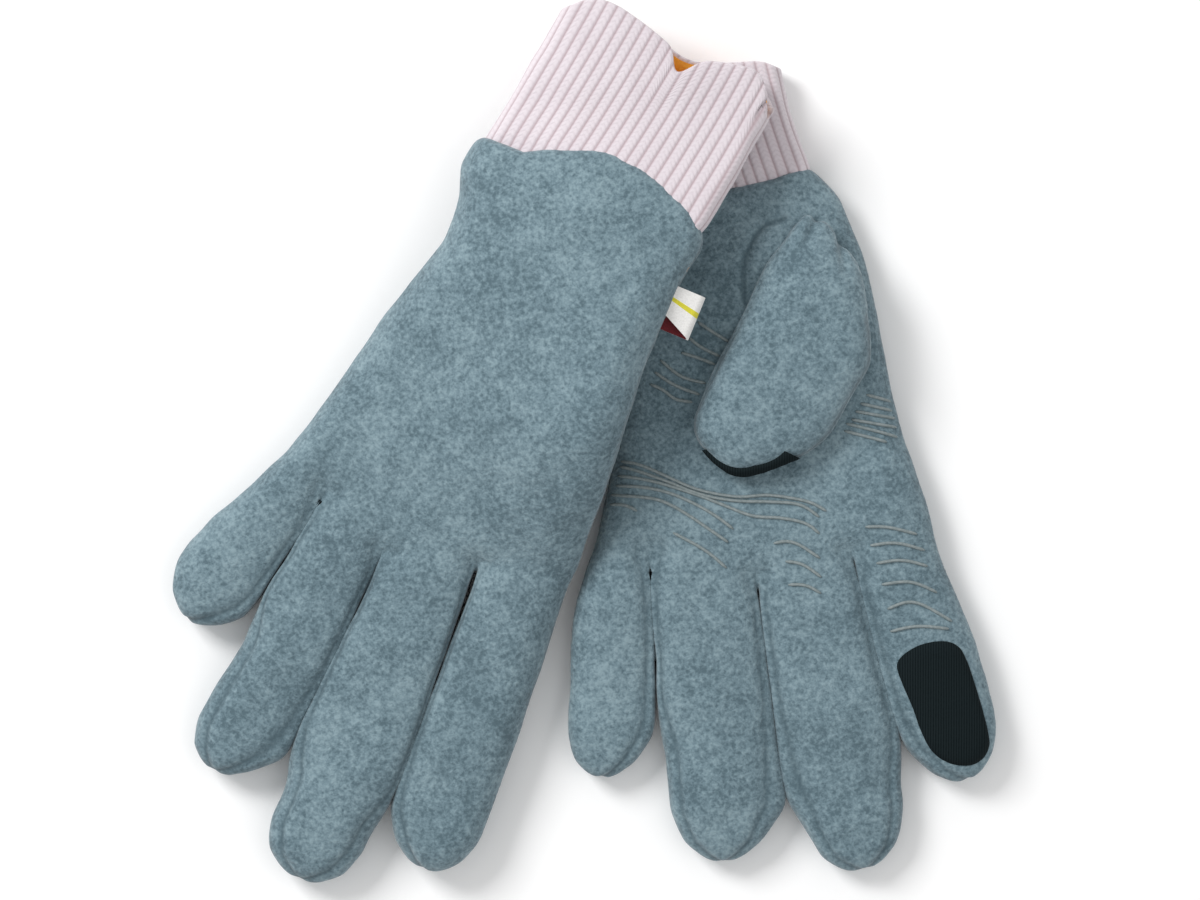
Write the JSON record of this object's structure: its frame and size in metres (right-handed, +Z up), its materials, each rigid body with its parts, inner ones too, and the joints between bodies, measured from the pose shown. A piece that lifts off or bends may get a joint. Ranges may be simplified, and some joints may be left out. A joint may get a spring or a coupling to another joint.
{
  "type": "touchscreen gloves",
  "caption": "A pair of lined fleece winter gloves with ribbed cuffs, bending fingers and black touch pads on the index fingers and thumbs, laid one over the other.",
  "frame": {"origin": "bottom centre of the pair's bounding box, on the table that the gloves lie on", "axes": "+Y from the fingertips towards the cuffs, +X towards the lower glove and its index finger, +Z up off the table"},
  "size_m": [0.2411, 0.2544, 0.0407],
  "materials": {
    "fleece": "melange grey-teal boiled wool fleece, matt",
    "rib_knit": "pale pink rib knit, matt",
    "lining": "orange brushed lining, matt",
    "touch_pad": "black conductive knit, matt",
    "label": "white woven ribbon"
  },
  "bodies": {
    "left_glove": {"left_rib_cuff": "rib_knit", "left_cuff_facing": "lining", "left_hand_lining": "lining", "left_back_panel": "fleece", "left_palm_panel": "fleece"},
    "left_little_finger": {"left_little_palm": "fleece", "left_little_back": "fleece", "left_little_gusset_inner": "fleece"},
    "left_ring_finger": {"left_ring_palm": "fleece", "left_ring_back": "fleece", "left_ring_gusset_outer": "fleece", "left_ring_gusset_inner": "fleece"},
    "left_middle_finger": {"left_middle_palm": "fleece", "left_middle_back": "fleece", "left_middle_gusset_outer": "fleece", "left_middle_gusset_inner": "fleece"},
    "left_index_finger": {"left_index_palm": "fleece", "left_index_back": "fleece", "left_index_gusset_outer": "fleece", "left_index_touch_pad": "touch_pad"},
    "left_thumb": {"left_thumb_back": "fleece", "left_thumb_palm": "fleece", "left_thumb_touch_pad": "touch_pad"},
    "right_glove": {"right_rib_cuff": "rib_knit", "right_cuff_facing": "lining", "right_hand_lining": "lining", "right_back_panel": "fleece", "right_palm_panel": "fleece"},
    "right_little_finger": {"right_little_palm": "fleece", "right_little_back": "fleece", "right_little_gusset_inner": "fleece"},
    "right_ring_finger": {"right_ring_palm": "fleece", "right_ring_back": "fleece", "right_ring_gusset_outer": "fleece", "right_ring_gusset_inner": "fleece"},
    "right_middle_finger": {"right_middle_palm": "fleece", "right_middle_back": "fleece", "right_middle_gusset_outer": "fleece", "right_middle_gusset_inner": "fleece"},
    "right_index_finger": {"right_index_palm": "fleece", "right_index_back": "fleece", "right_index_gusset_outer": "fleece", "right_index_touch_pad": "touch_pad"},
    "right_thumb": {"right_thumb_back": "fleece", "right_thumb_palm": "fleece", "right_thumb_touch_pad": "touch_pad"},
    "right_label": {"right_loop_label": "label"}
  },
  "joints": [
    {"name": "left_little_bend", "type": "hinge", "parent": "left_glove", "child": "left_little_finger", "pos_m": [0.01111, -0.02811, 0.013], "axis": [-0.9969, 0.0791, 0], "range_deg": [0, 75]},
    {"name": "left_ring_bend", "type": "hinge", "parent": "left_glove", "child": "left_ring_finger", "pos_m": [0.03465, -0.03649, 0.013], "axis": [-0.9977, -0.0672, 0], "range_deg": [0, 75]},
    {"name": "left_middle_bend", "type": "hinge", "parent": "left_glove", "child": "left_middle_finger", "pos_m": [0.06315, -0.03271, 0.013], "axis": [-0.9801, -0.1986, 0], "range_deg": [0, 75]},
    {"name": "left_index_bend", "type": "hinge", "parent": "left_glove", "child": "left_index_finger", "pos_m": [0.0898, -0.02829, 0.013], "axis": [-0.9519, -0.3065, 0], "range_deg": [0, 75]},
    {"name": "left_thumb_lift", "type": "hinge", "parent": "left_glove", "child": "left_thumb", "pos_m": [0.06965, 0.06648, 0.013], "axis": [-0.9548, 0.2972, 0], "range_deg": [0, 90]},
    {"name": "right_little_bend", "type": "hinge", "parent": "right_glove", "child": "right_little_finger", "pos_m": [-0.08069, -0.00668, 0.0012], "axis": [0.7812, -0.6243, 0], "range_deg": [0, 75]},
    {"name": "right_ring_bend", "type": "hinge", "parent": "right_glove", "child": "right_ring_finger", "pos_m": [-0.06709, -0.02347, 0.0012], "axis": [0.8744, -0.4852, 0], "range_deg": [0, 75]},
    {"name": "right_middle_bend", "type": "hinge", "parent": "right_glove", "child": "right_middle_finger", "pos_m": [-0.045, -0.03393, 0.00124], "axis": [0.9262, -0.3771, 0], "range_deg": [0, 75]},
    {"name": "right_index_bend", "type": "hinge", "parent": "right_glove", "child": "right_index_finger", "pos_m": [-0.01652, -0.0361, 0.0012], "axis": [0.9441, -0.3297, 0], "range_deg": [0, 75]},
    {"name": "right_thumb_lift", "type": "hinge", "parent": "right_glove", "child": "right_thumb", "pos_m": [0.01231, 0.05039, 0.0257], "axis": [0.7871, -0.6169, 0], "range_deg": [0, 3]},
    {"name": "right_glove_lift_off", "type": "slide", "parent": "left_glove", "child": "right_glove", "axis": [0, 0, 1], "range_m": [0, 0.13]},
    {"name": "right_label_flip", "type": "hinge", "parent": "right_glove", "child": "right_label", "pos_m": [0.0294, 0.0452, 0.0332], "axis": [-0.3858, -0.9226, 0], "range_deg": [-30, 30]}
  ]
}
